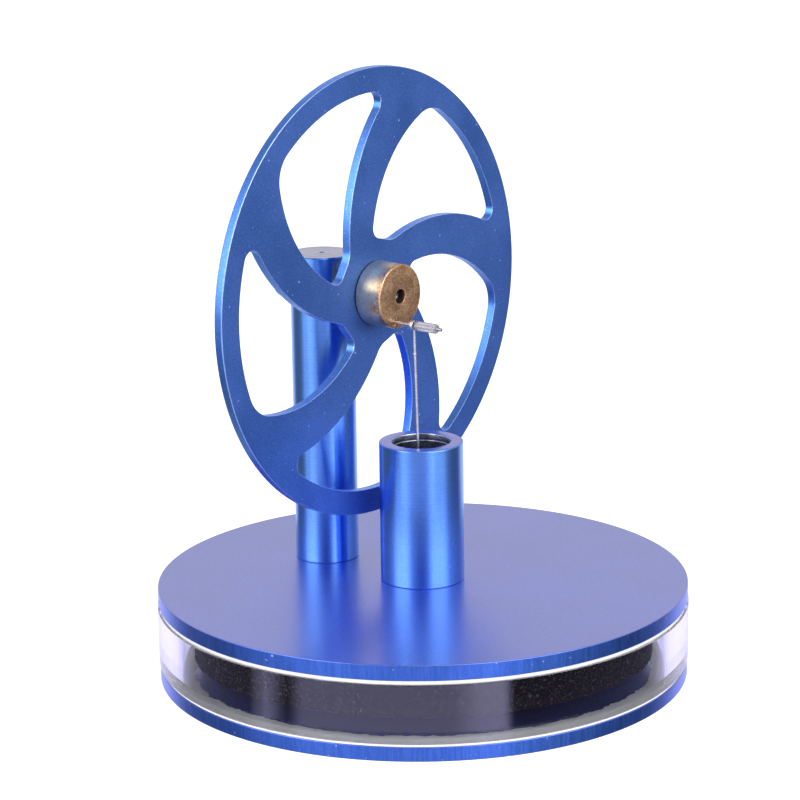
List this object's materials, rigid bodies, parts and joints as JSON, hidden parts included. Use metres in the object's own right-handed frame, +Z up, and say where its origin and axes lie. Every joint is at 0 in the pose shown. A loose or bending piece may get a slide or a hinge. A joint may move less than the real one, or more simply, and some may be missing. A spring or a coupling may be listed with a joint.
{
  "type": "stirling engine model",
  "caption": "Low-temperature Stirling engine model: sealed round chamber with a foam displacer, upright power cylinder, crank and spoked flywheel on a post.",
  "frame": {"origin": "middle of the bottom plate's underside", "axes": "+Z up through the power cylinder; the crankshaft lies along Y, with the crank at -Y and the post at +Y"},
  "size_m": [0.0922, 0.0922, 0.1045],
  "materials": {
    "blue_anodised": "satin blue anodised, turned",
    "grey_sealant": "matt silicone sealant",
    "white_seal": "smooth white gasket",
    "clear_acrylic": "clear polished",
    "black_foam": "coarse open foam",
    "nickel": "nickel plated",
    "steel": "turned",
    "bearing_steel": "ground",
    "graphite": "fine matt graphite",
    "steel_wire": "drawn wire",
    "black_rubber": "matt",
    "brass": "turned, slightly tarnished",
    "black_steel": "blackened",
    "clear_tube": "clear glossy tube"
  },
  "bodies": {
    "base": {"bottom_plate": "blue_anodised", "bottom_seal": "grey_sealant", "chamber_ring": "clear_acrylic", "top_seal": "white_seal", "top_plate": "blue_anodised", "cylinder_sleeve": "blue_anodised", "cylinder_liner": "steel", "post": "blue_anodised", "post_screw": "steel", "post_washer": "black_rubber", "front_bearing_outer": "bearing_steel", "front_bearing_shields": "bearing_steel", "rear_bearing_outer": "bearing_steel", "rear_bearing_shields": "bearing_steel"},
    "crankshaft": {"shaft": "steel", "flywheel": "blue_anodised", "crank_hub": "brass", "hub_screw": "black_steel", "crank_pin": "steel_wire", "pin_tube": "clear_tube", "front_spacer": "brass", "rear_collar": "steel", "collar_screw": "black_steel", "front_bearing_inner": "bearing_steel", "rear_bearing_inner": "bearing_steel"},
    "con_rod": {"con_rod": "steel_wire"},
    "piston": {"piston": "graphite", "wrist_pin": "steel", "piston_magnet": "nickel"},
    "displacer": {"displacer_foam": "black_foam", "displacer_magnet": "nickel"},
    "front_balls": {"front_bearing_balls": "bearing_steel", "front_bearing_cage": "brass"},
    "rear_balls": {"rear_bearing_balls": "bearing_steel", "rear_bearing_cage": "brass"}
  },
  "joints": [
    {"name": "shaft_spin", "type": "hinge", "parent": "base", "child": "crankshaft", "pos_m": [0, 0.02184, 0.06564], "axis": [0, 1, 0], "continuous": true},
    {"name": "rod_turn", "type": "hinge", "parent": "crankshaft", "child": "con_rod", "pos_m": [-0.00161, 0, 0.06144], "axis": [0, 1, 0], "continuous": true},
    {"name": "piston_slide", "type": "slide", "parent": "base", "child": "piston", "axis": [0, 0, 1], "range_m": [-0.0003, 0.0087]},
    {"name": "displacer_slide", "type": "slide", "parent": "base", "child": "displacer", "axis": [0, 0, 1], "range_m": [-0.0025, 0]},
    {"name": "front_balls_turn", "type": "hinge", "parent": "base", "child": "front_balls", "pos_m": [0, 0.01843, 0.06564], "axis": [0, 1, 0], "continuous": true},
    {"name": "rear_balls_turn", "type": "hinge", "parent": "base", "child": "rear_balls", "pos_m": [0, 0.02525, 0.06564], "axis": [0, 1, 0], "continuous": true}
  ],
  "couplings": [
    {"joint": "rod_turn", "follows": "shaft_spin", "ratio": -1},
    {"joint": "front_balls_turn", "follows": "shaft_spin", "ratio": 0.3824},
    {"joint": "rear_balls_turn", "follows": "shaft_spin", "ratio": 0.3824}
  ]
}
